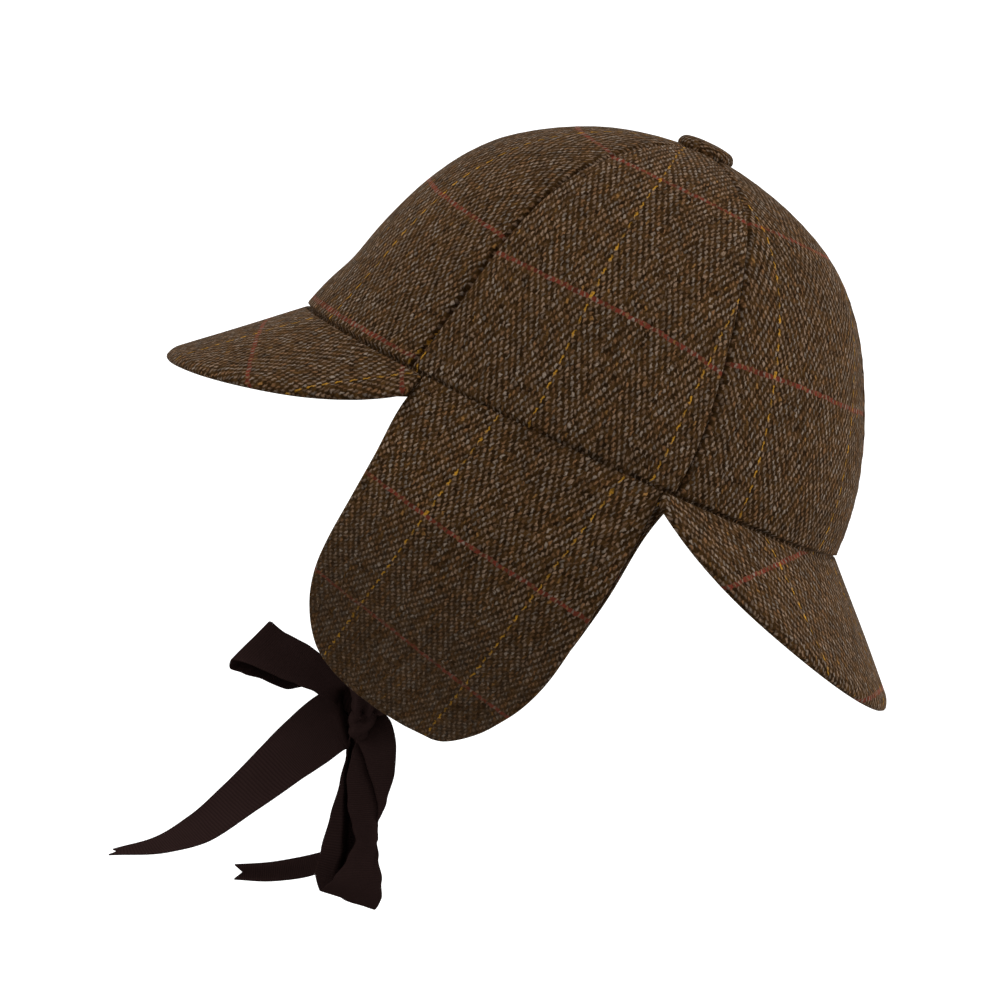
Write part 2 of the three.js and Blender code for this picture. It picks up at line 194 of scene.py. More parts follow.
def makeTweed(name, flatWeaveAndShade=None):  # flattens the weave towards the cloth's lower end, with painted light all over and painted shade darkening that lower end
    material, root = newMaterial(name)
    smoothCloth = cloth = root.node("ShaderNodeUVMap", {"uv_map": "cloth"})
    for row in tweed["wander"]:
        aside = clothNoise(smoothCloth, row["scale"], row["detail"], out=1)
        aside = vectorMath("SUBTRACT", aside, (0.5, 0.5, 0.5))
        aside = vectorMath("MULTIPLY", aside, (row["amount"] * mm,) * 3)
        cloth = vectorMath("ADD", cloth, aside)
    across, along = component(cloth, 0), component(cloth, 1)
    x = across / (tweed["endPitch"] * mm)
    y = along / (tweed["pickPitch"] * mm)
    end, pick = x.floor(), y.floor()
    turn = 1 - 2 * ((end / tweed["bandEnds"]).floor() % 2)
    wave = 2 * math.pi / tweed["repeat"]
    second, third = tweed["waves"]
    slant, rise = turn * (x - 0.5), y - 0.5
    grain = ((rise + slant) * wave).cos() + second * ((2 * rise - slant) * wave).cos()
    grain = grain + third * ((2 * slant - rise) * wave).cos()
    grain = ((grain + tweed["waveBase"]) / tweed["waveRange"]).clamp()  # 1 on top of each warp float

    def yarnNoise(a, b):
        at = root.node("ShaderNodeCombineXYZ", {}, {0: a, 1: b})
        return root.node("ShaderNodeTexWhiteNoise", {"noise_dimensions": "2D"}, {"Vector": at})

    floatNo = ((y + turn * end + 1) / tweed["repeat"]).floor()
    floatTone = yarnNoise(end, floatNo)  # how light each float is
    floatHue = yarnNoise(end + tweed["hueSeed"], floatNo)  # and which of the mixed fibres it shows
    weftTone = yarnNoise((x / tweed["repeat"]).floor() + tweed["weftSeed"], pick)
    fibre, heather, broad = (clothNoise(cloth, *tweed[key]) for key in ("fibre", "heather", "broad"))
    warp = mixColour(floatHue.between(*tweed["rustFrom"]), tweed["tan"], tweed["rust"])
    warp = mixColour((1 - floatHue).between(*tweed["greyFrom"]), warp, tweed["grey"])
    warp = mixColour((1 - (floatHue < tweed["fleckFrom"])) * tweed["fleck"], warp, tweed["gold"])
    warp = shade(warp, floatTone.spread(*tweed["warpTones"]))
    weft = mixColour(heather.between(*tweed["warmFrom"]), tweed["dark"], tweed["darkWarm"])
    weft = shade(weft, weftTone.spread(*tweed["weftTones"]))
    redPick = (pick % tweed["redEvery"]) < 0.5
    weft = mixColour(redPick * weftTone.spread(*tweed["redShare"]), weft, tweed["red"])
    cover = grain * tweed["cover"]
    tone = fibre.spread(*tweed["fibreTones"]) * broad.spread(*tweed["broadTones"])
    if flatWeaveAndShade:
        flatAndShadeMask = ((flatWeaveAndShade["from"] * mm - along) / (flatWeaveAndShade["length"] * mm)).clamp() * flatWeaveAndShade["amount"]
        cover = cover * (1 - flatAndShadeMask) + flatWeaveAndShade["cover"] * flatAndShadeMask
        # painted light all over the cloth and painted shade growing towards its lower end
        tone = tone * (1 + flatWeaveAndShade["lighter"] - flatWeaveAndShade["darker"] * flatAndShadeMask)
    colour = mixColour(cover.clamp(), weft, warp)
    goldAt = (x + tweed["goldStart"]) % tweed["goldEvery"]
    goldRound = (goldAt * (math.pi / tweed["goldWidth"])).sin() * (goldAt < tweed["goldWidth"])
    goldArch = (((y % tweed["repeat"]) / tweed["goldLength"]) * math.pi).sin().math("MAXIMUM", 0)
    golden = (goldRound * goldArch * floatTone.spread(*tweed["goldTones"])).clamp()
    colour = shade(mixColour(golden, colour, tweed["gold"]), tone)
    height = grain.math("MAXIMUM", golden) + fibre * tweed["fuzz"]
    finishMaterial(root, colour, fibre.spread(*tweed["roughness"]),
                   bump(height, tweed["reliefStrength"], tweed["relief"]), tweed["gloss"])
    return material


# ribbon: grosgrain, ribs across its width
ribbon = {
    "width": 25, "thickness": 0.6, "rib": 0.67, "ribWander": 0.5, "ribPower": 0.7, "thread": 0.22,
    "wander": (90, 2), "fine": (1500, 3), "broad": (45, 2),  # noise scale and detail
    # top and between: painted highlight on the rib tops and painted shade in the grooves between the ribs,
    # mixed by ribShare
    "top": srgb(54, 39, 37), "between": srgb(38, 26, 25), "ribShare": 0.75, "broadShare": 0.5,
    "relief": 0.09, "reliefStrength": 0.8, "threadTones": (0.8, 1), "fuzz": 0.18, "roughness": (0.66, 0.91),
    "stepsPerRow": 14, "columns": 44, "edge": 0.8,
    "foldDepth": 3.2, "foldPower": 1.3, "foldMean": 0.6,  # folds deepen as the ribbon is gathered
    "creaseReach": 0.12, "turnReach": 0.4, "closing": 1.5,  # in shares of half the width
    "soft": {"size": 18, "amount": 0.35, "halfWidth": 9},
}


def makeRibbon():
    material, root = newMaterial("ribbon")
    cloth = root.node("ShaderNodeUVMap", {"uv_map": "cloth"})
    across, along = component(cloth, 0), component(cloth, 1)
    wander, fine, broad = (clothNoise(cloth, *ribbon[key]) for key in ("wander", "fine", "broad"))
    rib = abs(((along + wander * (ribbon["ribWander"] * mm)) * (math.pi / (ribbon["rib"] * mm))).sin())
    thread = abs((across * (math.pi / (ribbon["thread"] * mm))).sin())
    height = rib ** ribbon["ribPower"] * thread.spread(*ribbon["threadTones"]) + fine * ribbon["fuzz"]
    # painted highlight on the rib tops and painted shade between them, with a broad random tone of the cloth
    lit = (height * ribbon["ribShare"] + (broad - 0.5) * ribbon["broadShare"]).clamp()
    colour = mixColour(lit, ribbon["between"], ribbon["top"])
    finishMaterial(root, colour, fine.spread(*ribbon["roughness"]),
                   bump(height, ribbon["reliefStrength"], ribbon["relief"]), {"Specular IOR Level": 0.0})
    return material


tweedMaterial = makeTweed("tweed")
flapTweed = makeTweed("flapTweed", flapFlatWeaveAndShade)
ribbonMaterial = makeRibbon()
print("materials: tweed and ribbon")


# cloth in code: an outer grid, an inner one below it and rounded edges between
def table(rows, along, name, at):  # a named column read smoothly between its rows
    rows = [(row[along], row[name]) for row in rows]
    at = min(max(at, rows[0][0]), rows[-1][0])
    i = max(1, next(k for k, row in enumerate(rows) if row[0] >= at))

    def slope(k):
        low, high = max(k - 1, 0), min(k + 1, len(rows) - 1)
        return (rows[high][1] - rows[low][1]) / (rows[high][0] - rows[low][0])

    span = rows[i][0] - rows[i - 1][0]
    t = (at - rows[i - 1][0]) / span
    a, b = rows[i - 1][1], rows[i][1]
    return (a * (1 + 2 * t) * (1 - t) ** 2 + b * t * t * (3 - 2 * t)
            + slope(i - 1) * span * t * (1 - t) ** 2 + slope(i) * span * t * t * (t - 1))


def lerp(a, b, t):
    return a + (b - a) * t


def endsFiner(count, power):  # 0 to 1, closer together at both ends
    half = [0.5 * (2 * i / count) ** power for i in range(count // 2 + 1)]
    return half + [1 - s for s in reversed(half[:-1])]


def ease(t):  # 0 to 1 with a soft start and end
    t = max(0, min(1, t))
    return t * t * (3 - 2 * t)


def ripple(point, size, amount, seed):
    return amount * noise.noise(point / size + Vector((seed, 0.7 * seed, 0.3)))


def gridNormals(outer):
    rows, columns = len(outer), len(outer[0])
    normals = []
    for r in range(rows):
        for c in range(columns):
            du = outer[r][min(c + 1, columns - 1)] - outer[r][max(c - 1, 0)]
            dv = outer[min(r + 1, rows - 1)][c] - outer[max(r - 1, 0)][c]
            normals.append(du.cross(dv).normalized())
    return normals


def gridBorder(rows, columns):  # the grid's outer points, once round
    border = list(range(columns)) + [r * columns + columns - 1 for r in range(1, rows)]
    border += [(rows - 1) * columns + c for c in range(columns - 2, -1, -1)]
    return border + [r * columns for r in range(rows - 2, 0, -1)]


edgeSteps = 4  # faces round a cloth edge


def clothPiece(name, outer, uv, thickness, outward, material, roundness=1.0, ways=None):
    rows, columns = len(outer), len(outer[0])
    normals = gridNormals(outer)
    if ways:  # given where folds are too sharp to follow
        normals = [way for row in ways for way in row]
    middle = (rows // 2) * columns + columns // 2
    if normals[middle].dot(outward) < 0:
        normals = [-n for n in normals]
    top = [p for row in outer for p in row]
    flat = [q for row in uv for q in row]
    points = top + [p - n * thickness for p, n in zip(top, normals)]
    places = flat + flat
    faces = []
    under = rows * columns
    for r in range(rows - 1):
        for c in range(columns - 1):
            i = r * columns + c
            faces.append((i, i + 1, i + columns + 1, i + columns))
            faces.append((under + i, under + i + columns, under + i + columns + 1, under + i + 1))
    border = gridBorder(rows, columns)
    count = len(border)
    rings = [border]
    for step in range(1, edgeSteps):
        rolled = step * math.pi / edgeSteps
        ring = []
        for k, i in enumerate(border):
            tangent = top[border[(k + 1) % count]] - top[border[k - 1]]
            out = tangent.cross(normals[i]).normalized()
            r, c = divmod(i, columns)
            r, c = min(max(r, 1), rows - 2), min(max(c, 1), columns - 2)  # the nearest point off the edge
            if out.dot(top[i] - outer[r][c]) < 0:
                out = -out
            centre = top[i] - normals[i] * (thickness / 2)
            ring.append(len(points))
            points.append(centre + normals[i] * (thickness / 2 * math.cos(rolled))
                          + out * (thickness / 2 * roundness * math.sin(rolled)))
            onwards = (Vector(flat[i]) - Vector(uv[r][c])).normalized() * (thickness / 2 * rolled)
            places.append((flat[i][0] + onwards.x, flat[i][1] + onwards.y))  # the cloth turns over its edge
        rings.append(ring)
    rings.append([under + i for i in border])
    for upper, lower in zip(rings, rings[1:]):
        for k in range(count):
            j = (k + 1) % count
            faces.append((upper[k], lower[k], lower[j], upper[j]))
    return meshPiece(name, points, places, faces, material)


def meshPiece(name, points, places, faces, material):
    volume = sum(points[f[0]].dot(points[f[k]].cross(points[f[k + 1]]))
                 for f in faces for k in range(1, len(f) - 1))
    if volume < 0:
        faces = [tuple(reversed(f)) for f in faces]
    mesh = bpy.data.meshes.new(name)
    mesh.from_pydata([p * mm for p in points], [], faces)
    layer = mesh.uv_layers.new(name="cloth")
    for loop in mesh.loops:
        across, along = places[loop.vertex_index]
        layer.data[loop.index].uv = (across * mm, along * mm)
    mesh.polygons.foreach_set("use_smooth", [True] * len(mesh.polygons))
    mesh.materials.append(material)
    mesh.update()
    piece = bpy.data.objects.new(name, mesh)
    scene.collection.objects.link(piece)
    return piece


def newClothMap(mesh):  # a primitive's own map makes way for one in metres
    while mesh.uv_layers:
        mesh.uv_layers.remove(mesh.uv_layers[0])
    return mesh.uv_layers.new(name="cloth")


def pick(mesh, kind, wanted):  # selects faces or edges by their place, in edit mode
    bpy.ops.object.mode_set(mode="EDIT")
    bpy.ops.mesh.select_mode(type=kind)
    bpy.ops.mesh.select_all(action="DESELECT")
    bpy.ops.object.mode_set(mode="OBJECT")
    for item in mesh.polygons if kind == "FACE" else mesh.edges:
        item.select = wanted(item)
    bpy.ops.object.mode_set(mode="EDIT")


def gridArea(outer):
    area = 0
    for low, high in zip(outer, outer[1:]):
        for c in range(len(low) - 1):
            area += (high[c + 1] - low[c]).cross(high[c] - low[c + 1]).length / 2
    return area * mm * mm


def place(piece, node):
    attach(piece, "root")
    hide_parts(node)


# crown: six panels sewn together, drawn in along their seams
rim = {"halfWidth": 84, "halfLength": 103, "gap": 0.15}
crown = {
    "height": 108, "waist": 0.034, "puff": 0.9, "wall": 2.2, "edge": 0.3, "tipRadius": 4,
    "flatWidth": 98.5,  # of a panel at the rim
    "rows": [
        {"height": 0, "back": 0}, {"height": 12, "back": 1.4}, {"height": 28, "back": 2.1},
        {"height": 60, "back": 1.4}, {"height": 80, "back": 1.6}, {"height": 96, "back": 2.4},
        {"height": 108, "back": 0.8},
    ],
    "dent": {"height": 23, "spreadHeight": 11, "spreadTurn": 0.45, "depth": 1.5},
    "soft": [{"size": 34, "amount": 0.75, "seed": 0}, {"size": 13, "amount": 0.18, "seed": 3}],
    "topPuff": 0.25, "topSink": 0.6,  # what stays of puff and seams at the top
    "flareReach": 45, "leanReach": 58,
    "columns": 56, "columnPower": 1.9, "risers": 70, "riserPower": 1.5, "tuckRows": 3,
}
seam = {
    "overlap": 0.16, "dip": 0.45, "reach": 3.4, "fold": 2.1, "foldReach": 0.62,
    "pucker": 0.2, "puckerLength": 6.5, "puckerFrom": 1.2, "puckerReach": 5, "puckerDrift": 14,
    "tuck": 1.7,  # the crown's edge turned in below the rim
    "crease": 1.7, "creaseReach": 0.5, "forward": 0.05,
}
# where the overcheck falls: check is the cloth's place at the panel's rim middle, lean and twist its slants,
# flare its draw at the rim and sag its bow towards the front and back seam
panels = [
    {"name": "frontLeftPanel", "node": "crown_panel_front_left", "check": (-47.2, -58),
     "lean": 0.1, "twist": 0, "flare": 0, "sag": (0, 0), "seed": 1},
    {"name": "leftPanel", "node": "crown_panel_left", "check": (6.5, -47.4),
     "lean": 0, "twist": 0, "flare": 2.5, "sag": (0, 0.0022), "seed": 2},
    {"name": "backLeftPanel", "node": "crown_panel_back_left", "check": (30, -50.5),
     "lean": 0, "twist": 0.075, "flare": 3, "sag": (0.0015, 0), "seed": 3},
    {"name": "backRightPanel", "node": "crown_panel_back_right", "check": (12, -38),
     "lean": 0.03, "twist": 0, "flare": 0, "sag": (0, 0), "seed": 4},
    {"name": "rightPanel", "node": "crown_panel_right", "check": (-4, -50),
     "lean": -0.02, "twist": 0, "flare": 0, "sag": (0, 0), "seed": 5},
    {"name": "frontRightPanel", "node": "crown_panel_front_right", "check": (26, -55),
     "lean": 0, "twist": 0, "flare": 0, "sag": (0, 0), "seed": 6},
]


def rimPoint(turn):
    return Vector((rim["halfWidth"] * math.sin(turn), -rim["halfLength"] * math.cos(turn), 0))


def rimOut(point):  # level and square to the rim
    return Vector((point.x / rim["halfWidth"] ** 2, point.y / rim["halfLength"] ** 2, 0)).normalized()


def seamTurns(count):  # turns that split the rim oval into equal lengths
    steps = 3600
    around = [2 * math.pi * i / steps for i in range(steps + 1)]
    lengths = [0]
    for a, b in zip(around, around[1:]):
        lengths.append(lengths[-1] + (rimPoint(b) - rimPoint(a)).length)
    turns = []
    for k in range(count + 1):
        wanted = lengths[-1] * k / count
        turns.append(next(turn for turn, length in zip(around, lengths) if length >= wanted - 1e-9))
    return turns


def crownPoint(turn, rise):
    reach = math.cos(rise) * (1 - crown["waist"] * math.sin(4 * rise))
    point = rimPoint(turn) * reach
    point.z = crown["height"] * math.sin(rise)
    point.y += table(crown["rows"], "height", "back", point.z)
    return point


def crownNormal(point):
    return Vector((point.x / rim["halfWidth"] ** 2, point.y / rim["halfLength"] ** 2,
                   point.z / crown["height"] ** 2)).normalized()


def bell(distance, reach):  # 1 in the middle, falling away softly
    return math.exp(-(distance / reach) ** 2)


def drawnIn(distance):  # how far cloth sinks at a distance from its seam
    return seam["dip"] * bell(distance, seam["reach"]) + seam["fold"] * bell(distance, seam["foldReach"])


def creased(distance):  # the deeper fold where cloth turns in at the rim
    return seam["crease"] * bell(max(distance, 0), seam["creaseReach"])


def dented(turn, height):  # the hollow over the front visor
    dent = crown["dent"]
    level = bell(height - dent["height"], dent["spreadHeight"])
    return dent["depth"] * bell(turn, dent["spreadTurn"]) * level


def puckered(point, climbed, side, phase):  # small gathers beside a seam
    wave = math.sin(2 * math.pi * (climbed / seam["puckerLength"])
                    + 2 * noise.noise(point / seam["puckerDrift"]) + phase)
    return seam["pucker"] * wave * bell(side, seam["puckerReach"]) * min(1, side / seam["puckerFrom"])


def crownPanel(row, turns):
    topRise = math.acos(crown["tipRadius"] / rim["halfWidth"])
    outer, uv, ways = [], [], []
    climbed, before = -seam["tuck"], None
    for i in range(-crown["tuckRows"], crown["risers"] + 1):
        rise = i / crown["tuckRows"] * seam["tuck"] / crown["height"]
        if i >= 0:
            rise = topRise * (i / crown["risers"]) ** crown["riserPower"]
        width = (crownPoint(turns[0], rise) - crownPoint(turns[1], rise)).length
        inset = -seam["overlap"] / 2 / width
        base, line = [], []
        for u in endsFiner(crown["columns"], crown["columnPower"]):
            share = lerp(inset, 1 - inset, u)
            around = lerp(turns[0], turns[1], share)
            point = crownPoint(around, rise)
            side = width * min(share, 1 - share)
            sunk = max(drawnIn(side), creased(crown["height"] * rise))
            lift = crown["puff"] + puckered(point, climbed, side, -1 if share < 0.5 else 1)
            for soft in crown["soft"]:
                lift += ripple(point, soft["size"], soft["amount"], soft["seed"] + row["seed"])
            lift *= max(math.cos(rise), crown["topPuff"])
            lift -= sunk * max(math.cos(rise), crown["topSink"])
            lift -= dented(min(around, 2 * math.pi - around), point.z)
            base.append(point)
            line.append(point + crownNormal(point) * lift)
        middle = base[len(base) // 2]
        if before:
            climbed += (middle - before).length
        before = middle
        sums = [0]
        for a, b in zip(base, base[1:]):
            sums.append(sums[-1] + (b - a).length)
        across = [s - sums[len(sums) // 2] for s in sums]
        flare = row["flare"] * max(0, 1 - climbed / crown["flareReach"]) ** 2
        lean = row["lean"] * climbed / crown["leanReach"]
        uv.append([(p - row["twist"] * climbed - flare + row["check"][0],
                    climbed + lean * p + row["sag"][p > 0] * p * p + row["check"][1]) for p in across])
        outer.append(line)
        ways.append([crownNormal(point) for point in base])
    outward = crownNormal(outer[len(outer) // 2][len(outer[0]) // 2])
    piece = clothPiece(row["name"], outer, uv, crown["wall"], outward, tweedMaterial, crown["edge"], ways)
    place(piece, row["node"])
    return piece, climbed, gridArea(outer)


turns = seamTurns(len(panels))
turns[1] -= seam["forward"]  # the side panels are the wider ones
turns[5] += seam["forward"]
for k, row in enumerate(panels):
    piece, climbed, area = crownPanel(row, turns[k:k + 2])
print("crown: six panels")


# button: a small cloth-covered dome over the panel tips
button = {
    "radius": 10.6, "height": 4.4, "middle": 108.5, "back": 0.8, "edge": 2.2, "sides": 48, "check": 20,
    "rings": [  # up the dome
        {"inset": 2.4, "lift": 0.75}, {"inset": 2.3, "lift": 0.45},
        {"inset": 2.2, "lift": 0.22}, {"inset": 1.6, "lift": 0.06},
    ],
    "flatShare": 0.6,  # of the radius, where the cloth lies level
}


def topButton():
    bpy.ops.object.select_all(action="DESELECT")
    bpy.ops.mesh.primitive_cylinder_add(vertices=button["sides"], radius=button["radius"] * mm,
                                        depth=button["height"] * mm, end_fill_type="NGON",
                                        location=(0, button["back"] * mm, button["middle"] * mm))
    piece = bpy.context.object
    piece.name = "coveredButton"
    mesh = piece.data
    middle = Vector((0, button["back"] * mm))

    def onRim(edge):
        a, b = (mesh.vertices[v].co for v in edge.vertices)
        outside = min((a.xy - middle).length, (b.xy - middle).length)
        return abs(a.z - b.z) < 1e-6 and outside > 0.995 * button["radius"] * mm

    bpy.ops.object.transform_apply(location=True, rotation=True, scale=True)
    pick(mesh, "FACE", lambda face: face.normal.z > 0.9)
    for ring in button["rings"]:
        bpy.ops.mesh.inset(thickness=ring["inset"] * mm, depth=0)
        bpy.ops.transform.translate(value=(0, 0, ring["lift"] * mm))
    pick(mesh, "EDGE", onRim)
    bpy.ops.mesh.bevel(offset=button["edge"] * mm, segments=4, affect="EDGES")
    bpy.ops.mesh.select_all(action="SELECT")
    bpy.ops.mesh.normals_make_consistent(inside=False)
    bpy.ops.object.mode_set(mode="OBJECT")
    smooth = piece.modifiers.new("smooth", "SUBSURF")
    smooth.levels = smooth.render_levels = 2
    bpy.ops.object.modifier_apply(modifier="smooth")
    mesh = piece.data
    layer = newClothMap(mesh)
    top = max(vertex.co.z for vertex in mesh.vertices)
    for loop in mesh.loops:
        spot = mesh.vertices[loop.vertex_index].co
        out = spot.xy - middle
        over = 1 + (top - spot.z) / max(out.length, button["flatShare"] * button["radius"] * mm)
        layer.data[loop.index].uv = [c * over + button["check"] * mm for c in out]  # drawn over the edge
    bpy.ops.object.shade_smooth()
    mesh.materials.clear()
    mesh.materials.append(tweedMaterial)
    place(piece, "top_button")


topButton()
print("button: covered")


# visors: stiffened cloth, sewn to the rim and sloping down and out
visors = [
    {"name": "frontVisor", "node": "visor_front", "sewnTo": "crown_panel_front_left", "facing": -1,
     "endTurn": 62.3, "midReach": 54.6, "endReach": 9, "midSlope": 42.3, "endSlope": 61, "curl": 1.18,
     "check": (-81.5, -13), "flat": (0.186, 0.098), "seed": 11},
    {"name": "backVisor", "node": "visor_back", "sewnTo": "crown_panel_back_left", "facing": 1,
     "endTurn": 64.6, "midReach": 57, "endReach": 6, "midSlope": 43.8, "endSlope": 47, "curl": 1,
     "check": (-57, 7), "flat": (0.186, 0.103), "seed": 12},  # flat sizes in metres
]
visorCloth = {
    "wall": 2.6, "edge": 0.8, "trim": 0.8, "taper": 0.84, "roll": 1.5, "rollReach": 4.5, "rollFrom": 20,
    "soft": {"size": 40, "amount": 0.7}, "columns": 120, "rows": 34, "rowPower": 1.9,
}


def visorSpine(row):  # the rim edge, and its flat cut with a gentler curve
    columns = visorCloth["columns"]
    spot, heading, before = Vector((0, 0)), 0.0, None
    spine = []
    for c in range(columns + 1):
        u = 2 * c / columns - 1
        turn = math.radians(row["endTurn"] * u)
        slope = math.radians(lerp(row["midSlope"], row["endSlope"], u * u))
        here = Vector((rim["halfWidth"] * math.sin(turn),
                       row["facing"] * rim["halfLength"] * math.cos(turn), 0))
        speed = math.hypot(rim["halfWidth"] * math.cos(turn), rim["halfLength"] * math.sin(turn))
        bend = row["curl"] * rim["halfWidth"] * rim["halfLength"] / speed ** 3
        if before:
            step = (here - before).length
            heading += bend * math.cos(slope) * step / 2
            spot = spot + Vector((math.cos(heading), math.sin(heading))) * step
            heading += bend * math.cos(slope) * step / 2
        before = here
        spine.append({"u": u, "here": here, "slope": slope, "spot": spot.copy(), "heading": heading})
    return spine


def visor(row):
    rows, soft = visorCloth["rows"], visorCloth["soft"]
    outer, uv = [[] for _ in range(rows + 1)], [[] for _ in range(rows + 1)]
    spine = visorSpine(row)
    middle = spine[len(spine) // 2]
    unturned = Matrix.Rotation(-middle["heading"], 2)
    for at in spine:
        here, slope = at["here"], at["slope"]
        centre = max(0, math.cos(math.pi / 2 * at["u"])) ** visorCloth["taper"]
        full = lerp(row["endReach"], row["midReach"], centre)
        outwards = rimOut(here)
        up = (outwards * math.sin(slope) + Vector((0, 0, math.cos(slope)))).normalized()
        tilt = at["heading"] - middle["heading"]
        spot = unturned @ (at["spot"] - middle["spot"])
        for r, v in enumerate(endsFiner(rows, visorCloth["rowPower"])):
            reach = v * (full - visorCloth["trim"])
            point = here + outwards * (reach * math.cos(slope))
            point.z = -rim["gap"] - reach * math.sin(slope)
            fromEdge = full - visorCloth["trim"] - reach
            rolled = max(0, 1 - fromEdge / visorCloth["rollReach"]) ** 2
            rolled *= min(1, full / visorCloth["rollFrom"])
            lift = ripple(point, soft["size"], soft["amount"], row["seed"]) * v
            lift -= creased(reach) + visorCloth["roll"] * rolled
            outer[r].append(point + up * lift)
            uv[r].append((spot.x + reach * math.sin(tilt) + row["check"][0],
                          -spot.y + reach * math.cos(tilt) + row["check"][1]))
    piece = clothPiece(row["name"], outer, uv, visorCloth["wall"], Vector((0, 0, 1)), tweedMaterial,
                       visorCloth["edge"])
    place(piece, row["node"])
    return piece, gridArea(outer)


for row in visors:
    piece, area = visor(row)
print("visors: front and back")


# ear flaps: let down, bending in towards the chin
flapRows = [
    {"drop": 0, "lean": 0, "front": -45.5, "back": 42.9, "flatten": 0},
    {"drop": 14, "lean": 2, "front": -48.7, "back": 42.6, "flatten": 0.05},
    {"drop": 32, "lean": 7, "front": -49.7, "back": 41.3, "flatten": 0.14},
    {"drop": 50, "lean": 20, "front": -51.4, "back": 39.2, "flatten": 0.25},
    {"drop": 68, "lean": 33, "front": -53.4, "back": 36.8, "flatten": 0.36},
    {"drop": 82, "lean": 38, "front": -54.2, "back": 34.5, "flatten": 0.43},
    {"drop": 94, "lean": 40, "front": -53.3, "back": 31.6, "flatten": 0.47},
    {"drop": 104, "lean": 41, "front": -50.9, "back": 28.2, "flatten": 0.5},
    {"drop": 113, "lean": 42, "front": -47.4, "back": 24, "flatten": 0.5},
    {"drop": 120, "lean": 42, "front": -43.2, "back": 20.3, "flatten": 0.5},
    {"drop": 126, "lean": 43, "front": -36.4, "back": 16.2, "flatten": 0.5},
    {"drop": 130, "lean": 43, "front": -29.2, "back": 12.8, "flatten": 0.5},
    {"drop": 133, "lean": 43, "front": -20.5, "back": 9.7, "flatten": 0.5},
    {"drop": 134.8, "lean": 43, "front": -13, "back": 7, "flatten": 0.5},
    {"drop": 135.5, "lean": 43, "front": -5.5, "back": 4.5, "flatten": 0.5},
]
flaps = [
    {"name": "leftFlap", "node": "ear_flap_left", "sewnTo": "crown_panel_left", "side": 1,
     "swing": 0, "check": (16.3, -47.1), "seed": 21},
    {"name": "rightFlap", "node": "ear_flap_right", "sewnTo": "crown_panel_right", "side": -1,
     "swing": 5.5, "check": (4, -43), "seed": 22},
]
flapCloth = {
    "wall": 2.1, "edge": 0.9, "width": 97.5, "length": 135.5,
    "columns": 70, "columnPower": 1.5, "rows": 96, "rowPower": 1.35, "middleSteps": 60,
    "swingMore": {"amount": 0.58, "at": 0.2, "reach": 0.16},  # just below the visor
    "soft": {"size": 42, "amount": 1.0, "from": 20}, "fine": {"size": 17, "amount": 0.22},
    "cut": {"across": 0.97, "skew": 0.2, "along": 1.035},  # the cloth is cut a little askew
    "slant": {"middle": 0.149, "forward": 0.0006, "down": 0.003},
}


def flapMiddle(drop):
    x, z, steps = rim["halfWidth"], -rim["gap"], flapCloth["middleSteps"]
    for i in range(steps):
        lean = math.radians(table(flapRows, "drop", "lean", (i + 0.5) / steps * drop))
        x -= math.sin(lean) * drop / steps
        z -= math.cos(lean) * drop / steps
    return x, z


def flapCurve(drop, y):  # how far the flap bends in round the head at y
    bulge = 1 - math.sqrt(1 - (y / rim["halfLength"]) ** 2)
    return rim["halfWidth"] * bulge * (1 - table(flapRows, "drop", "flatten", drop))


def earFlap(row):
    soft, fine, more = flapCloth["soft"], flapCloth["fine"], flapCloth["swingMore"]
    cut, slants = flapCloth["cut"], flapCloth["slant"]
    outer, uv = [], []
    for v in endsFiner(flapCloth["rows"], flapCloth["rowPower"]):
        drop = v * flapCloth["length"]
        x, z = flapMiddle(drop)
        front, back = table(flapRows, "drop", "front", drop), table(flapRows, "drop", "back", drop)
        lean = math.radians(table(flapRows, "drop", "lean", drop))
        out = Vector((row["side"] * math.cos(lean), 0, -math.sin(lean)))
        swing = row["swing"] * (math.sin(math.pi * v) + more["amount"] * bell(v - more["at"], more["reach"]))
        fall = drop + row["check"][1]
        line, spots = [], []
        for u in endsFiner(flapCloth["columns"], flapCloth["columnPower"]):
            straight = lerp(front, back, u)
            y = straight - swing
            point = Vector((row["side"] * (x - flapCurve(drop, y)), y, z))
            lift = ripple(point, soft["size"], soft["amount"], row["seed"]) * min(1, drop / soft["from"])
            lift += ripple(point, fine["size"], fine["amount"], row["seed"]) - creased(drop)
            line.append(point + out * lift)
            slant = slants["middle"] - slants["forward"] * straight + slants["down"] * fall
            spots.append((cut["across"] * straight + cut["skew"] * drop + row["check"][0],
                          slant * straight - cut["along"] * fall))
        outer.append(line)
        uv.append(spots)
    piece = clothPiece(row["name"], outer, uv, flapCloth["wall"], Vector((row["side"], 0, -0.6)), flapTweed,
                       flapCloth["edge"])
    place(piece, row["node"])
    return piece, gridArea(outer)


for row in flaps:
    piece, area = earFlap(row)
print("flaps: two, let down")


# bow: ribbon stretches from the flaps and out of the knot
def smoothPath(points, t):
    at = t * (len(points) - 1)
    i = min(int(at), len(points) - 2)
    t = at - i
    p1, p2 = points[i], points[i + 1]
    p0 = points[i - 1] if i > 0 else p1 * 2 - p2
    p3 = points[i + 2] if i + 2 < len(points) else p2 * 2 - p1
    d0, d1, d2 = (max((b - a).length ** 0.5, 1e-4) for a, b in ((p0, p1), (p1, p2), (p2, p3)))
    m1 = ((p1 - p0) / d0 - (p2 - p0) / (d0 + d1) + (p2 - p1) / d1) * d1
    m2 = ((p2 - p1) / d1 - (p3 - p1) / (d1 + d2) + (p3 - p2) / d2) * d1
    return (p1 * (1 + 2 * t) * (1 - t) ** 2 + p2 * t * t * (3 - 2 * t)
            + m1 * t * (1 - t) ** 2 + m2 * t * t * (t - 1))


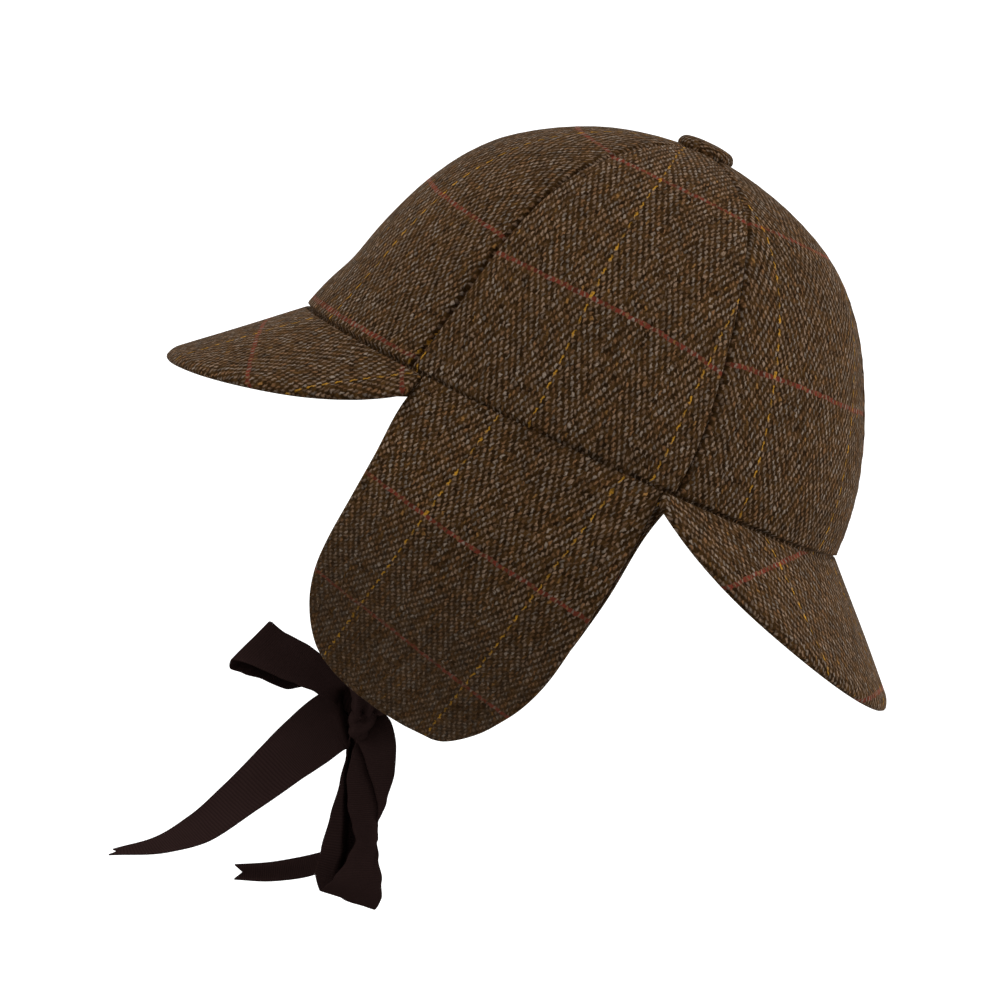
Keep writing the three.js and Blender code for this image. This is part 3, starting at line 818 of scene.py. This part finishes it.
def ribbonFold(row, w, share, crease, groove, tuck):  # how far the ribbon stands off its middle at w
    depth = row["foldDepth"] * ribbon["foldDepth"] * (1 - share) ** ribbon["foldPower"]
    past = w - crease
    wave = abs(math.sin(math.pi / 2 * row["folds"] * past))  # sharp on one side, round between
    fold = depth * (ribbon["foldMean"] - wave)
    fold -= groove * math.exp(-abs(past) / ribbon["creaseReach"])
    turned = ease(past / ribbon["turnReach"])
    closed = ease((past - ribbon["turnReach"]) / max(1 - ribbon["turnReach"] - crease, 0.1))
    return fold + tuck * (turned - ribbon["closing"] * closed)  # turns in behind the strand before it


def ribbonPiece(row):
    rows, soft = row["rows"], ribbon["soft"]
    centres = [Vector(line[0:3]) for line in rows]
    acrosses = [Vector(line[3:6]) for line in rows]
    creases = [Vector(crease) for crease in row["creases"]]
    if len(creases) == 1:
        creases = creases * len(rows)
    steps, columns, nearby = ribbon["stepsPerRow"] * (len(rows) - 1), ribbon["columns"], 0.002
    path = [smoothPath(centres, i / steps) for i in range(steps + 1)]
    length = sum((b - a).length for a, b in zip(path, path[1:]))
    outer, uv = [], []
    for i in range(steps + 1):
        line, spots = [], []
        for c in range(columns + 1):
            w = 2 * c / columns - 1
            t = i / steps * (1 - row["notch"] * (1 - abs(w)) / length)  # the V at a free end
            at = t * (len(rows) - 1)
            k = min(int(at), len(rows) - 2)
            share = lerp(rows[k][6], rows[k + 1][6], ease(at - k))
            here = smoothPath(centres, t)
            along = smoothPath(centres, min(t + nearby, 1)) - smoothPath(centres, max(t - nearby, 0))
            wide = smoothPath(acrosses, t).normalized()
            face = along.normalized().cross(wide).normalized()
            fold = ribbonFold(row, w, share, *creases[k].lerp(creases[k + 1], at - k))
            fold += ripple(here + wide * (soft["halfWidth"] * w), soft["size"], soft["amount"], row["seed"])
            line.append(here + wide * (w * share * ribbon["width"] / 2) + face * fold)
            spots.append((ribbon["width"] / 2 * (w + 1), t * length))
        outer.append(line)
        uv.append(spots)
    middle, onwards = outer[len(outer) // 2], outer[len(outer) // 2 + 1]
    outward = (middle[-1] - middle[0]).cross(onwards[columns // 2] - middle[columns // 2]).normalized()
    piece = clothPiece(row["name"], outer, uv, ribbon["thickness"], outward, ribbonMaterial, ribbon["edge"])
    place(piece, row["node"])
    return piece, length, min(gridArea(outer), ribbon["width"] * length * mm * mm)


# each row: middle of the ribbon x, y, z, the way across it x, y, z, and how much of its width is open
tieRows = [
    (20.5, -20, -117.5, 0.05, 0.95, 0.3, 0.55), (11, -21.5, -121, 0.05, 0.75, 0.65, 0.4),
    (2, -23, -122, 0, 0.6, 0.8, 0.32),
]
tieSewn = {"drops": (110, 119, 128), "y": -19, "depth": 3.9}
loopFrontRows = [
    (-8, -29.47, -123.44, 0, -0.4, 0.92, 0.4), (-4.5, -33.02, -122.25, -0.12, -0.24, 0.96, 0.34),
    (2, -35.17, -120.71, -0.25, -0.11, 0.96, 0.32), (4.5, -40.3, -119.02, -0.4, 0.21, 0.89, 0.4),
    (6.25, -47.02, -117.18, -0.4, 0.16, 0.9, 0.55), (5.5, -54.63, -116.99, -0.44, 0.15, 0.88, 0.63),
    (2.5, -63.2, -117.43, -0.53, 0.23, 0.82, 0.68), (-2.5, -72.02, -118.34, -0.36, 0.3, 0.88, 0.77),
    (-6.5, -71.48, -120.58, -0.35, 0.27, 0.9, 0.9), (-7, -66.28, -122.18, -0.54, 0.29, 0.79, 0.81),
    (-6.5, -59.46, -122.32, -0.63, 0.23, 0.74, 0.7), (-5.5, -51.5, -122.16, -0.57, 0.22, 0.79, 0.63),
    (-5.5, -43.14, -119.49, -0.43, 0.36, 0.83, 0.46), (-5, -28.18, -122.92, -0.24, -0.2, 0.95, 0.33),
]
tailFrontRows = [
    (-9, -29.16, -126.58, 0, 0.58, -0.82, 0.67), (-7, -29.83, -128.01, 0, 0.59, -0.81, 0.75),
    (-0.75, -29.86, -128.32, -0.02, 0.61, -0.79, 0.8), (0.5, -30.55, -129.12, 0.05, 0.67, -0.74, 0.84),
    (0, -32.92, -132.11, 0.18, 0.81, -0.55, 0.87), (-0.5, -37.2, -140.6, 0.4, 0.82, -0.42, 0.91),
    (-1.5, -42.23, -151.53, 0.56, 0.81, -0.18, 0.92), (-1.5, -50.88, -170.95, 0.73, 0.69, -0.04, 0.94),
    (-3, -59.77, -188.52, 0.8, 0.59, -0.03, 0.89), (-5, -70.21, -200.26, 0.91, 0.42, 0.06, 0.88),
    (-6.5, -85.56, -211.16, 0.99, 0.11, 0.1, 0.85),
]
loopLowRows = [
    (2, -21.75, -125.87, 0, 0.28, 0.96, 0.54), (4.5, -17.16, -127.94, 0.19, 0.59, 0.78, 0.63),
    (6, -13.86, -133.09, 0.23, 0.8, 0.56, 0.68), (5.25, -11.3, -141.22, 0.2, 0.84, 0.5, 0.71),
    (4.5, -8.3, -150.94, 0.14, 0.87, 0.47, 0.57), (4, -5.47, -159.13, 0.11, 0.87, 0.48, 0.36),
    (3.75, -2.79, -163.8, 0.07, 0.87, 0.49, 0.29), (4, -1.06, -170.27, -0.09, 0.87, 0.49, 0.44),
    (3.75, 0.44, -177.71, -0.15, 0.92, 0.36, 0.67), (2.25, 0.77, -182.94, -0.12, 0.97, 0.21, 0.81),
    (-0.5, -0.33, -186.49, -0.1, 0.99, 0.1, 0.82), (-2, -4.48, -183.57, -0.21, 0.98, 0.08, 0.77),
    (-0.5, -8.61, -172.02, -0.19, 0.93, 0.31, 0.65), (-0.25, -11.94, -159.48, -0.18, 0.91, 0.37, 0.57),
    (-0.75, -15.65, -147.03, -0.22, 0.89, 0.41, 0.46), (-1.25, -19.66, -137.11, -0.31, 0.87, 0.39, 0.32),
    (-1.5, -22.95, -128.4, -0.48, 0.69, 0.54, 0.25),
]
tailLowRows = [
    (-4, -22.5, -124, -0.9, 0.4, 0.1, 0.36), (-13, -18.4, -136.9, -0.9, 0.42, 0.1, 0.6),
    (-19, -13.5, -148.3, -0.91, 0.4, 0.1, 0.85), (-23, -9.8, -159, -0.94, 0.33, 0, 1),
    (-24.5, -9.5, -169, -0.99, 0.1, 0, 1), (-23.5, -12.5, -177.5, -0.99, -0.08, 0.05, 1),
    (-21.5, -18.5, -184.1, -0.97, -0.17, 0.13, 1), (-18, -30, -192.3, -0.98, -0.2, 0.06, 1),
    (-14.5, -43, -198.5, -0.98, -0.2, 0, 1),
]
ties = [
    {"name": "leftTie", "node": "tie_left", "flap": "ear_flap_left", "side": 1, "seed": 32},
    {"name": "rightTie", "node": "tie_right", "flap": "ear_flap_right", "side": -1, "seed": 30},
]
tieGathers = {"notch": 0, "folds": 3, "foldDepth": 2, "creases": [(0, 0, 0)]}
plainFold = {"notch": 0, "folds": 1, "creases": [(0.25, 0, 0)]}
# each row of the low loop: where its lengthwise crease lies, edge to edge -1 to 1, how deep it is,
# and how far the cloth turns in
lowLoopCreases = [
    (-1, 0.4, 0), (-0.95, 1, 0), (-0.64, 2.6, 0), (-0.21, 3.2, 0), (0.42, 2.6, 0), (0.95, 1.2, 0),
    (1, 0.4, 0), (0.8, 0, 0), (0.5, 0, 0), (0.2, 0, 0), (-0.3, 0, 0), (-0.4, 0, 4), (-0.15, 0, 6.5),
    (-0.4, 0, 7), (-0.8, 0, 6), (-1, 0, 5), (-1, 0, 2),
]
bow = [
    {**plainFold, "name": "frontLoop", "node": "bow_loop_front", "rows": loopFrontRows, "held": "folded",
     "foldDepth": 0.3, "seed": 41},
    {**plainFold, "name": "frontTail", "node": "bow_tail_front", "rows": tailFrontRows, "held": "hung",
     "foldDepth": 0.3, "notch": 1.5, "seed": 42},
    {**plainFold, "name": "lowLoop", "node": "bow_loop_low", "rows": loopLowRows, "held": "folded",
     "foldDepth": -0.7, "creases": lowLoopCreases, "seed": 43},
    {**plainFold, "name": "lowTail", "node": "bow_tail_low", "rows": tailLowRows, "held": "hung",
     "foldDepth": 0.5, "notch": 2.6, "seed": 44},
]


def tieStart(side):  # the sewn rows, on the inside of the flap
    rows = []
    y, depth = tieSewn["y"], tieSewn["depth"]
    for drop in tieSewn["drops"]:
        x, z = flapMiddle(drop)
        lean = math.radians(table(flapRows, "drop", "lean", drop))
        x -= flapCurve(drop, y) + depth * math.cos(lean)
        rows.append((side * x, y, z + depth * math.sin(lean), side * 0.1, 1, 0, 1))
    return rows


for row in ties:
    side = row["side"]
    free = [(side * r[0], r[1], r[2], side * r[3], r[4], r[5], r[6]) for r in tieRows]
    piece, length, area = ribbonPiece({**row, **tieGathers, "rows": tieStart(side) + free})
    ribbon["width"] * mm
    length * mm
for row in bow:
    piece, length, area = ribbonPiece(row)
    ribbon["width"] * mm
    length * mm
    print("  ", row["name"], "length", round(length, 1))

knot = {
    "x": 0, "y": -22.8, "z": -124.2, "acrossRadius": 5, "depthRadius": 9.4, "halfHeight": 9, "tilt": 10,
    "roundness": 0.6, "flatness": 0.85, "clothRound": 7.2, "clothUp": 12, "segments": 72, "rings": 40,
    "crease": {"depth": 0.22, "turns": 4.2, "sway": 2, "start": 0.5, "power": 0.7, "mean": 0.6},
}


def bowKnot():
    bpy.ops.object.select_all(action="DESELECT")
    bpy.ops.mesh.primitive_uv_sphere_add(segments=knot["segments"], ring_count=knot["rings"], radius=1)
    piece = bpy.context.object
    piece.name = "knot"
    mesh = piece.data
    layer = newClothMap(mesh)
    tilt = Matrix.Rotation(math.radians(knot["tilt"]), 3, "X")
    middle = Vector((knot["x"], knot["y"], knot["z"]))
    crease = knot["crease"]
    spots = {}
    for vertex in mesh.vertices:
        turn = math.atan2(vertex.co.y, vertex.co.x)
        rise = math.asin(max(-1, min(1, vertex.co.z)))
        out = abs(math.cos(rise)) ** knot["roundness"]
        up = math.copysign(abs(math.sin(rise)) ** knot["flatness"], rise)
        wave = abs(math.sin(crease["turns"] * up - crease["sway"] * math.sin(turn) + crease["start"]))
        out += crease["depth"] * (wave ** crease["power"] - crease["mean"]) * out  # creases of the turns
        spot = Vector((math.cos(turn) * knot["depthRadius"] * out,
                       math.sin(turn) * knot["acrossRadius"] * out, up * knot["halfHeight"]))
        spots[vertex.index] = (up * knot["clothUp"] * mm, turn * knot["clothRound"] * mm)
        vertex.co = (tilt @ spot + middle) * mm
    for loop in mesh.loops:
        layer.data[loop.index].uv = spots[loop.vertex_index]
    bpy.ops.object.shade_smooth()
    mesh.materials.append(ribbonMaterial)
    place(piece, "bow_knot")


bowKnot()
print("bow: two loops, two tails, a knot and its ties")


# studio, in metres: a pale sweep, soft light and the camera
studio = {
    "floor": -0.42, "front": 3.5, "back": -2.0, "halfWidth": 5, "sweepHeight": 3.2, "sweepRadius": 0.9,
    "glowFrom": -0.3, "glowOver": 0.3,  # the sweep shines softly behind the hat
    "pale": (0.45, 0.45, 0.44, 1), "air": 0.2,
    "lightsMeet": (0, 0, -0.03),
}


def paleSweep():
    bpy.ops.object.select_all(action="DESELECT")
    bpy.ops.mesh.primitive_plane_add(size=1)
    floor = bpy.context.object
    floor.name = "floor"
    mesh = floor.data
    for vertex in mesh.vertices:
        vertex.co = (studio["front"] if vertex.co.x > 0 else studio["back"],
                     math.copysign(studio["halfWidth"], vertex.co.y), studio["floor"])

    def atBack(edge):
        return all(mesh.vertices[v].co.x < 0 for v in edge.vertices)

    def inCorner(edge):
        heights = [mesh.vertices[v].co.z for v in edge.vertices]
        return atBack(edge) and all(abs(height - studio["floor"]) < 1e-4 for height in heights)

    pick(mesh, "EDGE", atBack)
    bpy.ops.mesh.extrude_region_move(TRANSFORM_OT_translate={"value": (0, 0, studio["sweepHeight"])})
    pick(mesh, "EDGE", inCorner)
    bpy.ops.mesh.bevel(offset=studio["sweepRadius"], segments=16, affect="EDGES")
    bpy.ops.object.mode_set(mode="OBJECT")
    bpy.ops.object.shade_smooth()
    material, root = newMaterial("paleSweep")
    x = component(root.node("ShaderNodeTexCoord", out=3), 0)
    glow = ((studio["glowFrom"] - x) / studio["glowOver"]).clamp()
    finishMaterial(root, studio["pale"], 0.9, None,
                   {"Emission Color": grey(glow), "Emission Strength": 1.0})
    mesh.materials.append(material)


paleSweep()
world = bpy.data.worlds.new("studioAir")
scene.world = world
world.use_nodes = True
world.node_tree.nodes["Background"].inputs[0].default_value = (1, 1, 1, 1)
world.node_tree.nodes["Background"].inputs[1].default_value = studio["air"]
scene.view_settings.view_transform = "Standard"

view = {
    "azimuth": 95, "elevation": 3.4, "roll": 25.4, "distance": 1.4, "sensor": 36,
    "picture": 1000, "focal": 3953, "originAt": (571.3, 429.5),  # in pixels of the picture
}
az, el, roll = (math.radians(view[key]) for key in ("azimuth", "elevation", "roll"))
back = Vector((math.sin(az) * math.cos(el), -math.cos(az) * math.cos(el), math.sin(el)))
right = Vector((math.cos(az), math.sin(az), 0))
up = back.cross(right)
imageRight = right * math.cos(roll) + up * math.sin(roll)
imageUp = up * math.cos(roll) - right * math.sin(roll)
perPixel = view["distance"] / view["focal"]
aim = imageRight * ((view["picture"] / 2 - view["originAt"][0]) * perPixel)
aim += imageUp * ((view["originAt"][1] - view["picture"] / 2) * perPixel)
eye = back * view["distance"]
towards = (eye - aim).normalized()
side = imageUp.cross(towards).normalized()
turned = Matrix((side, towards.cross(side), towards)).transposed().to_4x4()
camera = bpy.data.objects.new("camera", bpy.data.cameras.new("camera"))
camera.data.sensor_width = view["sensor"]
camera.data.lens = view["focal"] * view["sensor"] / view["picture"]
camera.matrix_world = Matrix.Translation(eye) @ turned
scene.collection.objects.link(camera)
scene.camera = camera

lights = [  # places in metres to the right of, above and before the hat in the picture
    {"name": "topLight", "right": 0, "up": 1.55, "before": 0.7, "size": 1.3, "power": 17.5},
    {"name": "rightLight", "right": 1.6, "up": 0.1, "before": 0.35, "size": 1.2, "power": 17},
    {"name": "leftLight", "right": -1.6, "up": 0.7, "before": 0.3, "size": 1.2, "power": 9.5},
]
for row in lights:
    lamp = bpy.data.lights.new(row["name"], "AREA")
    lamp.size, lamp.energy = row["size"], row["power"]
    light = bpy.data.objects.new(row["name"], lamp)
    light.location = imageRight * row["right"] + imageUp * row["up"] + back * row["before"]
    towardsHat = Vector(studio["lightsMeet"]) - light.location
    light.rotation_euler = towardsHat.to_track_quat("-Z", "Y").to_euler()
    scene.collection.objects.link(light)
print("studio: sweep, three soft lights and the camera")
